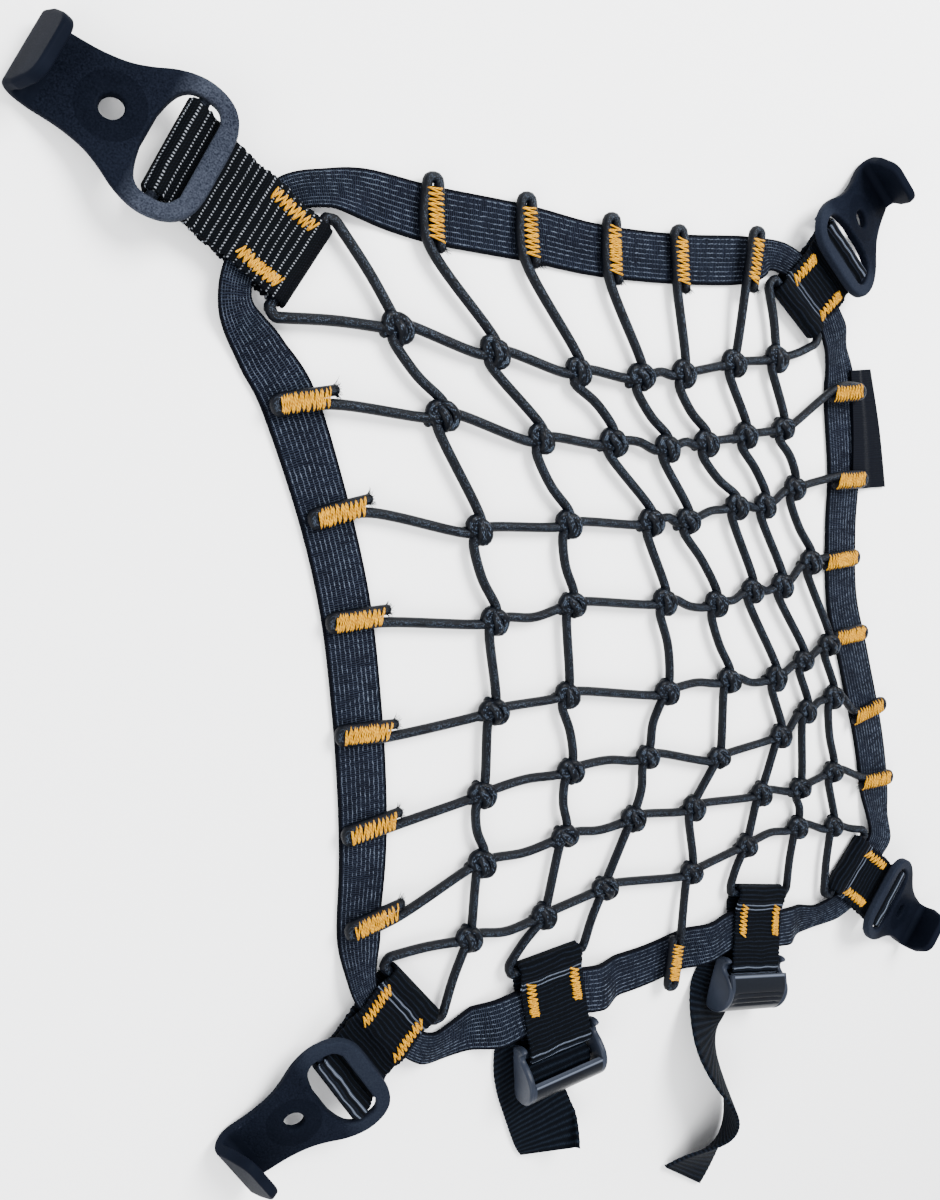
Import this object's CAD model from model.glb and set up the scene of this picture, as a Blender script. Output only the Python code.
# Looks of the elastic cargo net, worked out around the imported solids.
# Places in the tables are millimetres: x to the right, y to the net's top edge, z up.
import math
import random

import bmesh
import bpy
from mathutils import Matrix, Vector


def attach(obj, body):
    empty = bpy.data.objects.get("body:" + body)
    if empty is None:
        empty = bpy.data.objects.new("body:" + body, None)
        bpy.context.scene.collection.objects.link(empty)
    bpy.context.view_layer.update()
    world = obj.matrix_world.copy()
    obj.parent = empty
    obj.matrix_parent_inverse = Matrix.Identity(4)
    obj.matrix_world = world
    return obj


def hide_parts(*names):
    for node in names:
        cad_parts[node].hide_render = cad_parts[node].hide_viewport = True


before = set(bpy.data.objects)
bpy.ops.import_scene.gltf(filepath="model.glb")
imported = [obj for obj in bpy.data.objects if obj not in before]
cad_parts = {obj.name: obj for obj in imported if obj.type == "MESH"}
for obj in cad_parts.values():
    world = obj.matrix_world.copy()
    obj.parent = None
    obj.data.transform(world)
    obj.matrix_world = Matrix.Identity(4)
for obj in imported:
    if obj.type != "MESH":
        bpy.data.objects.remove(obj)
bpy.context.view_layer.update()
print("frame loaded, solids:", len(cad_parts))

mm = 0.001
partMiddle = (54.96, -35.98)       # place in the tables that stands at the frame's origin
spanPoints = 12                    # points of a smooth curve between two given ones


def toWorld(x, y, z):
    return Vector(((x - partMiddle[0]) * mm, (y - partMiddle[1]) * mm, z * mm))


def smoothStep(t):
    t = min(1.0, max(0.0, t))
    return t * t * (3.0 - 2.0 * t)


def polar(angle):
    turn = math.radians(angle)
    return math.cos(turn), math.sin(turn)


def ripple(angle):
    return 0.5 + 0.5 * math.cos(angle)


def curvePoint(before, here, there, after, t):
    straight = (there - before) * t
    bend = (2 * before - 5 * here + 4 * there - after) * t ** 2
    swing = (3 * here - before - 3 * there + after) * t ** 3
    return 0.5 * (2 * here + straight + bend + swing)


def running(line):
    # length so far at each point of a line
    lengths = [0.0]
    for a, b in zip(line, line[1:]):
        lengths.append(lengths[-1] + (b - a).length)
    return lengths


def evenly(dense, step):
    # same line with points one step apart
    lengths = running(dense)
    count = max(2, round(lengths[-1] / step))
    result = []
    k = 0
    for i in range(count + 1):
        want = lengths[-1] * i / count
        while k < len(dense) - 2 and lengths[k + 1] < want:
            k += 1
        span = max(1e-9, lengths[k + 1] - lengths[k])
        result.append(dense[k].lerp(dense[k + 1], (want - lengths[k]) / span))
    return result


def smoothLine(points, step, closed=False):
    points = [Vector(p) for p in points]
    if closed:
        padded = [points[-1]] + points + points[:2]
    else:
        padded = [2 * points[0] - points[1]] + points + [2 * points[-1] - points[-2]]
    dense = []
    for i in range(1, len(padded) - 2):
        for k in range(spanPoints):
            dense.append(curvePoint(*padded[i - 1:i + 3], k / spanPoints))
    dense.append(padded[-2])
    return evenly(dense, step)


def softened(line, passes, closed=False):
    # corners worn round by averaging with the neighbours
    for _ in range(passes):
        worn = list(line)
        for i in range(len(line)):
            if closed or 0 < i < len(line) - 1:
                worn[i] = (line[i - 1] + 2 * line[i] + line[(i + 1) % len(line)]) / 4
        line = worn
    return line


def placeWords(name):
    # tab_top_left gives TopLeft
    return "".join(word.capitalize() for word in name.split("_")[1:])


def newObject(name, data):
    made = bpy.data.objects.new(name, data)
    bpy.context.scene.collection.objects.link(made)
    return made


# ---- finishes, as node trees ----

class NodeValue:
    # a value that nodes work out, so that a finish can be written as sums
    def __init__(self, tree, socket):
        self.tree = tree
        self.socket = socket

    def calc(self, operation, *values):
        node = self.tree.nodes.new("ShaderNodeMath")
        node.operation = operation
        for socket, value in zip(node.inputs, values):
            feed(self.tree, socket, value)
        return NodeValue(self.tree, node.outputs[0])

    def __add__(self, other):
        return self.calc("ADD", self, other)

    def __radd__(self, other):
        return self.calc("ADD", other, self)

    def __sub__(self, other):
        return self.calc("SUBTRACT", self, other)

    def __rsub__(self, other):
        return self.calc("SUBTRACT", other, self)

    def __mul__(self, other):
        return self.calc("MULTIPLY", self, other)

    def __truediv__(self, other):
        return self.calc("DIVIDE", self, other)

    def __pow__(self, power):
        return self.calc("POWER", self, power)

    def over(self, limit):
        return self.calc("GREATER_THAN", self, limit)

    def under(self, limit):
        return self.calc("LESS_THAN", self, limit)

    def unsigned(self):
        return self.calc("ABSOLUTE", self)

    def positive(self):
        return self.calc("MAXIMUM", 0.0, self)

    def clamped(self):
        return self.calc("MINIMUM", 1.0, self.positive())

    def toAndFro(self):
        # from 0 to 0.5 and back within each unit
        return self.calc("PINGPONG", self, 0.5)

    def near(self, middle, spread):
        # 1 where the value meets middle, down to 0 one spread away
        return (1.0 - (self - middle).unsigned() / spread).positive()

    def blend(self, first, second):
        # the first colour at 0, the second at 1
        node = self.tree.nodes.new("ShaderNodeMix")
        node.data_type = "RGBA"
        inputs = {socket.identifier: socket for socket in node.inputs}
        for name, value in (("Factor_Float", self), ("A_Color", first), ("B_Color", second)):
            feed(self.tree, inputs[name], value)
        outputs = {socket.identifier: socket for socket in node.outputs}
        return NodeValue(self.tree, outputs["Result_Color"])


def feed(tree, socket, value):
    if isinstance(value, NodeValue):
        tree.links.new(value.socket, socket)
    elif isinstance(value, tuple):
        socket.default_value = (*value, 1.0)
    else:
        socket.default_value = value


def split(tree, socket):
    parts = tree.nodes.new("ShaderNodeSeparateXYZ")
    tree.links.new(socket, parts.inputs["Vector"])
    return [NodeValue(tree, part) for part in parts.outputs]


def clothPlace(tree):
    # millimetres along a strand or a webbing, and across it
    uv = tree.nodes.new("ShaderNodeUVMap")
    uv.uv_map = "weave"
    return split(tree, uv.outputs["UV"])[:2]


def upward(tree, start, full):
    # 0 on the flanks, 1 where the surface faces up
    geometry = tree.nodes.new("ShaderNodeNewGeometry")
    rise = split(tree, geometry.outputs["Normal"])[2]
    return ((rise - start) / (full - start)).clamped()


def cellNoise(tree, a, b):
    # one chance value for each cell of the weave
    join = tree.nodes.new("ShaderNodeCombineXYZ")
    for socket, value in zip(join.inputs, (a, b)):
        feed(tree, socket, value.calc("FLOOR", value))
    noise = tree.nodes.new("ShaderNodeTexWhiteNoise")
    noise.noise_dimensions = "2D"
    tree.links.new(join.outputs["Vector"], noise.inputs["Vector"])
    return NodeValue(tree, noise.outputs["Value"])


def cloudy(tree, scale, detail=3.0, roughness=0.6):
    place = tree.nodes.new("ShaderNodeTexCoord")
    noise = tree.nodes.new("ShaderNodeTexNoise")
    noise.inputs["Scale"].default_value = scale
    noise.inputs["Detail"].default_value = detail
    noise.inputs["Roughness"].default_value = roughness
    tree.links.new(place.outputs["Object"], noise.inputs["Vector"])
    return NodeValue(tree, noise.outputs["Fac"])


def newFinish(name, look):
    material = bpy.data.materials.new(name)
    material.use_nodes = True
    shader = material.node_tree.nodes["Principled BSDF"]
    shader.inputs["Roughness"].default_value = look["roughness"]
    shader.inputs["Specular IOR Level"].default_value = look["specular"]
    return material


def finishWith(material, colour, height, depth, roughness=None):
    tree = material.node_tree
    shader = tree.nodes["Principled BSDF"]
    feed(tree, shader.inputs["Base Color"], colour)
    if roughness is not None:
        feed(tree, shader.inputs["Roughness"], roughness)
    bump = tree.nodes.new("ShaderNodeBump")
    bump.inputs["Strength"].default_value = 1.0
    bump.inputs["Distance"].default_value = depth * mm
    feed(tree, bump.inputs["Height"], height)
    tree.links.new(bump.outputs["Normal"], shader.inputs["Normal"])
    return material


def braidedCord(name, look):
    # round braid: two sets of slanted strands that pass over each other
    material = newFinish(name, look)
    tree = material.node_tree
    along, around = clothPlace(tree)
    turn = around * look["strands"]
    rise = along / look["pitch"]
    right = turn + rise
    left = turn - rise
    bulge = right.toAndFro() * left.toAndFro() * 4.0
    fleck = cellNoise(tree, right, left).over(look["fleckShare"]) * bulge
    fleck = fleck * upward(tree, look["litFrom"], look["litFull"])
    cloud = cloudy(tree, look["cloud"])
    base = cloud.blend(look["dark"], look["mid"])
    colour = (fleck * (cloud * look["wear"])).blend(base, look["light"])
    return finishWith(material, colour, bulge, look["relief"])


def ribbedBorder(name, look):
    # elastic border: long ribs of short dark bars, with thin broken light lines between
    material = newFinish(name, look)
    tree = material.node_tree
    along, across = clothPlace(tree)
    sway = (cloudy(tree, look["swayCloud"], 1.0) - 0.5) * look["sway"]
    ribs = (across + sway) / look["ribPitch"]
    bars = (along + sway) / look["barPitch"]
    line = ribs.toAndFro().near(0.5, look["lineHalf"])
    gap = bars.toAndFro().near(0.5, look["barHalf"])
    bar = bars.toAndFro() * 2.0
    cell = cellNoise(tree, bars, ribs + 0.5)
    cloud = cloudy(tree, look["cloud"])
    fleck = line * cell ** look["fleckPower"] * (look["fleckTop"] - bar * look["fleckDrop"])
    shine = gap * (cloud * look["shine"])
    base = cloud.blend(look["dark"], look["mid"])
    base = shine.blend(base, look["barTone"])
    colour = fleck.blend(base, look["light"])
    colour = across.unsigned().over(look["selvage"]).blend(colour, look["dark"])
    return finishWith(material, colour, bar - line * look["lineDepth"], look["relief"])


def rowedWebbing(name, look):
    # tab and strap webbing: rows of light dots across it, dark fine ribs between
    material = newFinish(name, look)
    tree = material.node_tree
    along, across = clothPlace(tree)
    drift = (cloudy(tree, look["driftCloud"], 1.0) - 0.5) * look["drift"]
    place = along + drift
    rows = place / look["rowPitch"]
    dots = (across + drift) / look["dotPitch"]
    row = rows.toAndFro().near(0.5, look["rowHalf"])
    dot = dots.toAndFro() * 2.0 - look["dotFrom"]
    dot = (dot / (1.0 - look["dotFrom"])).positive()
    cell = cellNoise(tree, rows + 0.5, dots)
    lit = row ** look["dotPower"] * dot ** look["dotPower"]
    lit = lit * (cell * look["dotSpread"] + look["dotLeast"])
    if look["foldBand"]:
        lit = lit * along.under(-look["foldBand"])
    fine = (rows * 4.0).toAndFro()
    twill = (dots + rows * 2.0).toAndFro()
    grain = fine * twill
    base = (grain * look["grainTone"]).blend(look["dark"], look["mid"])
    colour = lit.blend(base, look["light"])
    if look["rims"]:
        rim = sum(place.near(at, look["rimHalf"]) for at in look["rims"]) * dot
        colour = (rim * look["rimLight"]).blend(colour, look["rimTone"])
    height = row * look["rowRise"] + grain * look["grainRise"]
    return finishWith(material, colour, height, look["relief"])


def grainedPlastic(name, look):
    # grained moulding: a paler ring behind the slot, a faint disc round the hole, a smooth lip
    material = newFinish(name, look)
    tree = material.node_tree
    out, across = clothPlace(tree)
    fine = cloudy(tree, look["grain"], 2.0, 0.5)
    broad = cloudy(tree, look["cloud"])
    smooth = out.under(look["lipFrom"])
    speck = ((fine - 0.5) * look["speck"] * smooth + broad).clamped()
    ring = ((look["ringFrom"] - out) / (look["ringFrom"] - look["ringFull"])).clamped()
    away = out - look["discAt"]
    far = away.calc("SQRT", away * away + across * across)
    disc = far.under(look["discSize"]) * look["discDepth"]
    geometry = tree.nodes.new("ShaderNodeNewGeometry")
    edge = NodeValue(tree, geometry.outputs["Pointiness"]).near(look["edgeAt"], look["edgeSpread"])
    base = speck.blend(look["dark"], look["mid"])
    pale = speck.blend(look["mid"], look["ring"])
    base = disc.blend(ring.blend(base, pale), look["dark"])
    colour = (edge * look["edgeWear"]).blend(base, look["light"])
    if look["rimAt"]:
        side = across.unsigned()
        rim = out.near(look["rimAt"], look["rimHalf"]) * side.under(look["cheekFrom"])
        colour = (rim * look["rimLight"]).blend(colour, look["rimTone"])
        colour = (side.over(look["cheekFrom"]) * broad).blend(colour, look["cheekTone"])
    rough = fine * look["roughSpread"] + (look["roughness"] - look["roughDrop"])
    return finishWith(material, colour, fine * smooth, look["relief"], rough)


def twistedThread(name, look):
    material = newFinish(name, look)
    tree = material.node_tree
    along, around = clothPlace(tree)
    ply = (around * 2.0 + along / look["twist"]).toAndFro()
    cloud = cloudy(tree, look["cloud"], 2.0)
    tone = cloud.blend(look["deep"], look["gold"])
    colour = ((ply * 2.0) ** 2.0 * cloud).blend(tone, look["pale"])
    return finishWith(material, colour, ply, look["relief"])


def paleFloor(name, look):
    material = newFinish(name, look)
    cloud = cloudy(material.node_tree, look["cloud"], 4.0)
    return finishWith(material, cloud.blend(look["low"], look["high"]), cloud, look["relief"])


cordLook = dict(roughness=0.42, specular=0.07, strands=34.0, pitch=0.55, fleckShare=0.72,
                litFrom=0.74, litFull=1.0, cloud=260.0, wear=1.5, dark=(0.0003, 0.0006, 0.0014),
                mid=(0.0012, 0.002, 0.0042), light=(0.085, 0.115, 0.165), relief=0.05)
borderLook = dict(roughness=0.75, specular=0.04, ribPitch=1.45, barPitch=0.66, lineHalf=0.15,
                  barHalf=0.24, fleckPower=1.9, fleckTop=1.1, fleckDrop=0.7, shine=1.5,
                  lineDepth=0.7, selvage=7.1, sway=0.5, swayCloud=900.0, cloud=160.0,
                  dark=(0.0004, 0.0007, 0.002), mid=(0.0009, 0.0015, 0.0042),
                  barTone=(0.016, 0.021, 0.035), light=(0.13, 0.16, 0.21), relief=0.16)
tabLook = dict(roughness=0.75, specular=0.03, rowPitch=2.2, dotPitch=0.86, rowHalf=0.13,
               dotFrom=0.5, dotLeast=0.3, dotSpread=0.6, dotPower=0.6, drift=0.6,
               driftCloud=120.0, foldBand=9.4, rims=(), rimHalf=0.35, rimLight=0.6,
               rimTone=(0.3, 0.36, 0.48), dark=(0.0003, 0.0005, 0.0008),
               mid=(0.0028, 0.004, 0.0068), light=(0.4, 0.43, 0.48), grainTone=3.0,
               rowRise=0.9, grainRise=1.6, relief=0.3)
darkTabLook = dict(tabLook, rowPitch=1.5, dotPitch=0.5, rowHalf=0.24, dotFrom=0.2,
                   light=(0.008, 0.012, 0.022), foldBand=0.0, drift=1.6)
# light rows of a dark tab: behind its cord fold, and on the bar side of its outermost turn
rimPlaces = dict(fold=(-12.2, -14.0), bar=(3.0, 5.0))
strapLook = dict(tabLook, rowPitch=2.0, dotPitch=0.6, rowHalf=0.3, dotFrom=0.0, dotLeast=0.6,
                 foldBand=0.0, dark=(0.0004, 0.0007, 0.0015), mid=(0.0018, 0.003, 0.0055),
                 light=(0.0055, 0.0085, 0.0145))
hookLook = dict(roughness=0.42, roughDrop=0.08, roughSpread=0.2, specular=0.004, grain=2300.0,
                speck=2.1, cloud=55.0, edgeAt=0.62, edgeSpread=0.05, edgeWear=0.25,
                dark=(0.0014, 0.0019, 0.0036), mid=(0.005, 0.0064, 0.0112),
                light=(0.05, 0.055, 0.09), ring=(0.03, 0.035, 0.048), ringFrom=7.0, ringFull=1.0,
                discAt=16.5, discSize=8.4, discDepth=0.45, lipFrom=31.0, relief=0.05, rimAt=0.0)
buckleLook = dict(hookLook, roughness=0.34, specular=0.07, grain=1700.0, speck=1.0,
                  dark=(0.0008, 0.0012, 0.0024), mid=(0.0024, 0.0034, 0.006),
                  ring=(0.0024, 0.0034, 0.006), relief=0.02, rimHalf=0.6, rimLight=0.8,
                  cheekFrom=13.5, rimTone=(0.09, 0.105, 0.14), cheekTone=(0.02, 0.025, 0.038))
threadLook = dict(roughness=0.6, specular=0.05, twist=1.1, cloud=700.0, deep=(0.1, 0.025, 0.0),
                  gold=(0.5, 0.21, 0.0), pale=(0.84, 0.5, 0.03), relief=0.1)
labelLook = dict(strapLook, rowPitch=0.9, dotPitch=0.5, light=(0.002, 0.003, 0.006),
                 dark=(0.0009, 0.0012, 0.0025), mid=(0.0022, 0.003, 0.0058), relief=0.08,
                 roughness=0.6)
floorLook = dict(roughness=0.9, specular=0.2, cloud=6.0, low=(0.95, 0.955, 0.96),
                 high=(0.98, 0.98, 0.98), relief=0.05)

cordFinish = braidedCord("navyCordBraid", cordLook)
knotFinish = braidedCord("navyKnotBraid", dict(cordLook, fleckShare=0.6, strands=16.0, pitch=1.0))
borderFinish = ribbedBorder("navyElasticRibs", borderLook)
tabFinish = rowedWebbing("dottedTabWebbing", tabLook)
strapFinish = rowedWebbing("darkStrapWebbing", strapLook)
wornHookFinish = grainedPlastic("wornHookNylon", hookLook)
hookFinish = grainedPlastic("hookGrainedNylon", dict(hookLook, ring=(0.01, 0.0125, 0.019)))
threadFinish = twistedThread("goldSewingThread", threadLook)
labelFinish = rowedWebbing("plainLabelCloth", labelLook)
print("finishes ready")


# ---- pieces ----

def addPiece(name, mesh, material, nodes=(), slotName=None):
    mesh.materials.append(material)
    piece = newObject(name, mesh)
    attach(piece, "root")
    if nodes:
        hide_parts(*nodes)
    return piece


def meshFrom(name, points, faces, places, sharp=None):
    # places: the weave place of each corner of each face, in millimetres
    mesh = bpy.data.meshes.new(name)
    mesh.from_pydata(points, [], faces)
    weave = mesh.uv_layers.new(name="weave")
    flat = [value for face in places for spot in face for value in spot]
    weave.data.foreach_set("uv", flat)
    mesh.polygons.foreach_set("use_smooth", [True] * len(mesh.polygons))
    if sharp:
        mesh.set_sharp_from_angle(angle=math.radians(sharp))
    mesh.validate()
    return mesh


roundCap = (0.94, 0.7, 0.35)       # sizes of the rings that close a strand's round end


class Strands:
    # many tubes gathered in one mesh
    def __init__(self):
        self.points = []
        self.faces = []
        self.places = []

    def tube(self, line, radius, sides, roundEnds=True, start=0.0):
        # line in world metres, radius in millimetres or one value for each point
        radii = radius if isinstance(radius, list) else [radius] * len(line)
        rings = []
        for k, size in enumerate(radii):
            ahead = line[min(k + 1, len(line) - 1)] - line[max(k - 1, 0)]
            ahead.normalize()
            rings.append((line[k], ahead, size))
        if roundEnds:
            rings = self.cap(*rings[0], -1)[::-1] + rings + self.cap(*rings[-1], 1)
        side = rings[0][1].orthogonal().normalized()
        base = len(self.points)
        along = start
        alongs = []
        spot = rings[0][0]
        for middle, ahead, size in rings:
            side = (side - ahead * side.dot(ahead)).normalized()
            up = ahead.cross(side)
            along += (middle - spot).length / mm
            spot = middle
            alongs.append(along)
            for s in range(sides):
                out, lift = polar(360.0 * s / sides)
                self.points.append(middle + (side * out + up * lift) * size * mm)
        for k in range(len(rings) - 1):
            for s in range(sides):
                after = (s + 1) % sides
                a = base + k * sides
                b = a + sides
                self.faces.append((a + s, a + after, b + after, b + s))
                left, right = s / sides, (s + 1) / sides
                self.places.append(((alongs[k], left), (alongs[k], right),
                                    (alongs[k + 1], right), (alongs[k + 1], left)))
        for ring, order in ((0, -1), (len(rings) - 1, 1)):
            cap = [base + ring * sides + s for s in range(sides)][::order]
            self.faces.append(tuple(cap))
            self.places.append(tuple((alongs[ring], s / sides) for s in range(sides)))

    def cap(self, spot, ahead, size, way):
        return [(spot + ahead * way * size * mm * math.sqrt(1 - e * e), ahead, size * e)
                for e in roundCap]

    def mesh(self, name):
        return meshFrom(name, self.points, self.faces, self.places)


# ---- the cords ----

cordNet = dict(radius=1.58, sides=14, step=1.25, height=3.3, levelAbove=0.1, slack=1.7,
               tautBelow=1.0, passes=2)
knot = dict(twist=(1.3, 1.1), reach=(4.0, 3.0), sway=16.0, tuck=0.3)
hairpinEnd = dict(stub=0.6, step=3.7)
web = dict(thickness=1.5, layer=2.15, clear=0.005, tabWidth=25.0, borderWidth=16.0,
           loopRadius=2.85, foldTurn=2.3, foldStep=12.0, foldPast=0.9, heldAbove=0.12)
foldCord = dict(bow=0.6, above=0.05, fewest=4)
heldHeight = cordNet["height"] + web["heldAbove"]
loopHeight = web["thickness"] / 2 + web["loopRadius"]

# x where each upright cord crosses the eight level cords
uprights = dict(
    c1=(-32, -16, -1, 7, 9, 7, 9, 6),
    c2=(0, 19, 32, 36, 37, 41, 41, 35),
    c3=(31, 47, 66, 75, 80, 74, 70, 60),
    c4=(56, 70, 82, 99, 109, 108, 98, 100),
    c5=(74, 87, 104, 116, 133, 139, 132, 127),
    c6=(96, 105, 118, 131, 147, 152, 153, 154),
    c7=(116, 123, 132, 145, 160, 166, 171, 175),
)
# y where each level cord crosses the seven upright cords
levels = dict(
    r1=(78, 75, 73, 74, 77, 83, 87),
    r2=(55, 51, 52, 52, 55, 59, 63),
    r3=(22, 25, 27, 28, 34, 35, 42),
    r4=(-6, -1, 0, -1, 4, 6, 15),
    r5=(-35, -31, -32, -29, -29, -23, -17),
    r6=(-62, -57, -55, -58, -52, -43, -38),
    r7=(-85, -80, -77, -76, -74, -74, -69),
    r8=(-110, -107, -101, -101, -94, -90, -92),
)
# where a cord is sewn to the border, its heading, and its reach past the border's two edges
sewnEnds = (
    dict(cord="c2", end="first", at=(-22.5, 111.0), angle=96, past=1.9, inner=0.8),
    dict(cord="c3", end="first", at=(9.4, 111.8), angle=100, past=1.9, inner=0.8),
    dict(cord="c4", end="first", at=(40.9, 111.8), angle=99, past=1.9, inner=0.8),
    dict(cord="c5", end="first", at=(68.6, 113.2), angle=101, past=1.9, inner=0.8),
    dict(cord="c6", end="first", at=(99.0, 118.0), angle=87, past=1.9, inner=0.8),
    dict(cord="c4", end="last", at=(94.9, -134.6), angle=-92, past=1.6, inner=0.6),
    dict(cord="r2", end="first", at=(-60.5, 54.4), angle=193, past=-1.5, inner=2.6),
    dict(cord="r3", end="first", at=(-48.0, 24.6), angle=196, past=-1.5, inner=2.6),
    dict(cord="r4", end="first", at=(-40.6, -5.5), angle=187, past=-1.2, inner=2.4),
    dict(cord="r5", end="first", at=(-36.0, -39.2), angle=182, past=-1.2, inner=2.4),
    dict(cord="r6", end="first", at=(-32.0, -69.0), angle=193, past=-1.0, inner=2.2),
    dict(cord="r7", end="first", at=(-30.0, -98.0), angle=196, past=-1.0, inner=2.2),
    dict(cord="r2", end="last", at=(155.0, 79.0), angle=9, past=-1.8, inner=0.6),
    dict(cord="r3", end="last", at=(162.5, 47.0), angle=6, past=-1.8, inner=0.6),
    dict(cord="r4", end="last", at=(163.6, 16.4), angle=8, past=-0.3, inner=0.6),
    dict(cord="r5", end="last", at=(173.5, -13.4), angle=8, past=-0.3, inner=0.6),
    dict(cord="r6", end="last", at=(190.2, -44.4), angle=16, past=-0.3, inner=0.6),
    dict(cord="r7", end="last", at=(199.5, -74.5), angle=3, past=-0.3, inner=0.6),
)
labelLift = 1.5                    # sewn ends that cross the label lie this much higher
overLabel = (("r2", "last"), ("r3", "last"))

# Tabs: middle of the cord fold, heading, length to the bar, lift and skew of that bar,
# where the border passes and how wide, and where the two tacks start and stop.
tabs = (
    dict(name="tab_top_left", fold=(-62.0, 91.0), angle=150.0, length=39.0, lift=6.0, skew=4.0,
         borderAt=12.0, borderWidth=9.0, tacks=(1.8, 15.2), off=8.9),
    dict(name="tab_bottom_left", fold=(-14.0, -124.8), angle=-139.0, length=32.0, lift=5.0,
         skew=-6.0, borderAt=10.0, borderWidth=8.5, tacks=(3.2, 16.0), off=9.0),
    dict(name="tab_buckle_left", fold=(38.5, -123.8), angle=-82.0, length=28.5, lift=3.8,
         skew=0.0, borderAt=14.4, borderWidth=15.0, tacks=(4.0, 15.0), off=8.8),
    dict(name="tab_buckle_right", fold=(136.5, -114.5), angle=-99.0, length=27.5, lift=3.8,
         skew=0.0, borderAt=13.9, borderWidth=13.4, tacks=(4.0, 15.0), off=8.8),
    dict(name="tab_bottom_right", fold=(187.0, -110.0), angle=-37.0, length=25.0, lift=4.6,
         skew=3.0, borderAt=8.6, borderWidth=8.5, tacks=(4.0, 14.0), off=9.0),
    dict(name="tab_top_right", fold=(124.0, 105.5), angle=56.0, length=25.5, lift=4.6,
         skew=-2.0, borderAt=8.8, borderWidth=8.5, tacks=(4.0, 14.0), off=8.9),
)
foldCords = (
    dict(tab="tab_top_left", start=("c1", "r1", (-0.6, 2.2)), stop=("c1", "r1", (-2.7, -0.5))),
    dict(tab="tab_bottom_left", start=("c1", "r8", (-2.7, -0.5)), stop=("c1", "r8", (-0.4, -2.2))),
    dict(tab="tab_buckle_left", start=("c2", "r8", (-0.5, -2.1)), stop=("c3", "r8", (-0.5, -2.1))),
    dict(tab="tab_buckle_right", start=("c5", "r8", (-0.5, -2.1)), stop=("c6", "r8", (-0.5, -2.1))),
    dict(tab="tab_bottom_right", start=("c7", "r8", (-0.4, -2.2)), stop=("c7", "r8", (2.7, 0.5))),
    dict(tab="tab_top_right", start=("c7", "r1", (2.7, 0.5)), stop=("c7", "r1", (0.4, 2.2))),
)
tabShape = dict(rampStart=4.0, rampStop=7.5, borderRoom=0.5, closeOver=3.5, barRoom=6.5,
                loopSteps=24, step=0.5, holds=11.0)
borderRise = dict(beyond=7.2, ease=13.0, none=16.0, ramp=12.0)


def tabNamed(name):
    return next(tab for tab in tabs if tab["name"] == name)


def tabLift(tab, s):
    run = tab["length"] - tabShape["rampStop"] - tabShape["rampStart"]
    return tab["lift"] * min(1.0, max(0.0, (s - tabShape["rampStart"]) / run))


def tabPoint(tab, s, v):
    ax, ay = polar(tab["angle"])
    s = s * (1.0 - v * math.tan(math.radians(tab["skew"])) / tab["length"])
    return (tab["fold"][0] + ax * s - ay * v, tab["fold"][1] + ay * s + ax * v)


def tabLocal(tab, x, y):
    ax, ay = polar(tab["angle"])
    dx = x - tab["fold"][0]
    dy = y - tab["fold"][1]
    return dx * ax + dy * ay, -dx * ay + dy * ax


def groundLift(x, y):
    # height of the border's underside where a tab's lower layer carries it
    lift = 0.0
    for tab in tabs:
        s, v = tabLocal(tab, x, y)
        beyond = abs(v) - web["tabWidth"] / 2 - borderRise["beyond"]
        behind = smoothStep((s + borderRise["none"]) / borderRise["ramp"])
        close = (1.0 - smoothStep(beyond / borderRise["ease"])) * behind
        lift = max(lift, (web["layer"] + tabLift(tab, s)) * close)
    return lift


def knotCentre(column, row):
    return uprights[column][list(levels).index(row)], levels[row][list(uprights).index(column)]


def endHeight(end):
    cx, cy = end["at"]
    inside = web["borderWidth"] / 2 + end["inner"]
    around = (-inside, 0.0, inside)
    z = cordNet["height"] + max(groundLift(cx + dx, cy + dy) for dx in around for dy in around)
    return z + (labelLift if (end["cord"], end["end"]) in overLabel else 0.0)


def endSpot(end, u, v, z):
    ax, ay = polar(end["angle"])
    return (end["at"][0] + ax * u - ay * v, end["at"][1] + ay * u + ax * v, z)


def hairpin(end):
    # out across the border, round, and back to the cut end
    z = endHeight(end)
    side = hairpinEnd["step"] / 2
    inside = web["borderWidth"] / 2 + end["inner"]
    outer = web["borderWidth"] / 2 + end["past"] - side
    spots = [(-inside, side)]
    for angle in range(90, -91, -30):
        out, across = polar(angle)
        spots.append((outer + side * out, side * across))
    spots.append((-inside - hairpinEnd["stub"], -side))
    return [endSpot(end, u, v, z) for u, v in spots]


def bowed(a, b, bow):
    nx, ny = -(b[1] - a[1]), b[0] - a[0]
    size = max(1e-6, math.hypot(nx, ny))
    return ((a[0] + b[0]) / 2 + nx * bow / size, (a[1] + b[1]) / 2 + ny * bow / size,
            (a[2] + b[2]) / 2)


def linkStops(name, stops, slack):
    route = []
    ends = {end["end"]: end for end in sewnEnds if end["cord"] == name}
    if "first" in ends:
        route += reversed(hairpin(ends["first"]))
    for k, (enter, leave) in enumerate(stops):
        bow = slack.uniform(-cordNet["slack"], cordNet["slack"])
        if k and abs(bow) > cordNet["tautBelow"]:
            route.append(bowed(route[-1], enter, bow))
        tucked = bowed(enter, leave, knot["tuck"])
        route.append(enter if k or "first" in ends else tucked)
        route.append(leave if k < len(stops) - 1 or "last" in ends else tucked)
    if "last" in ends:
        route += hairpin(ends["last"])
    return route


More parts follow.
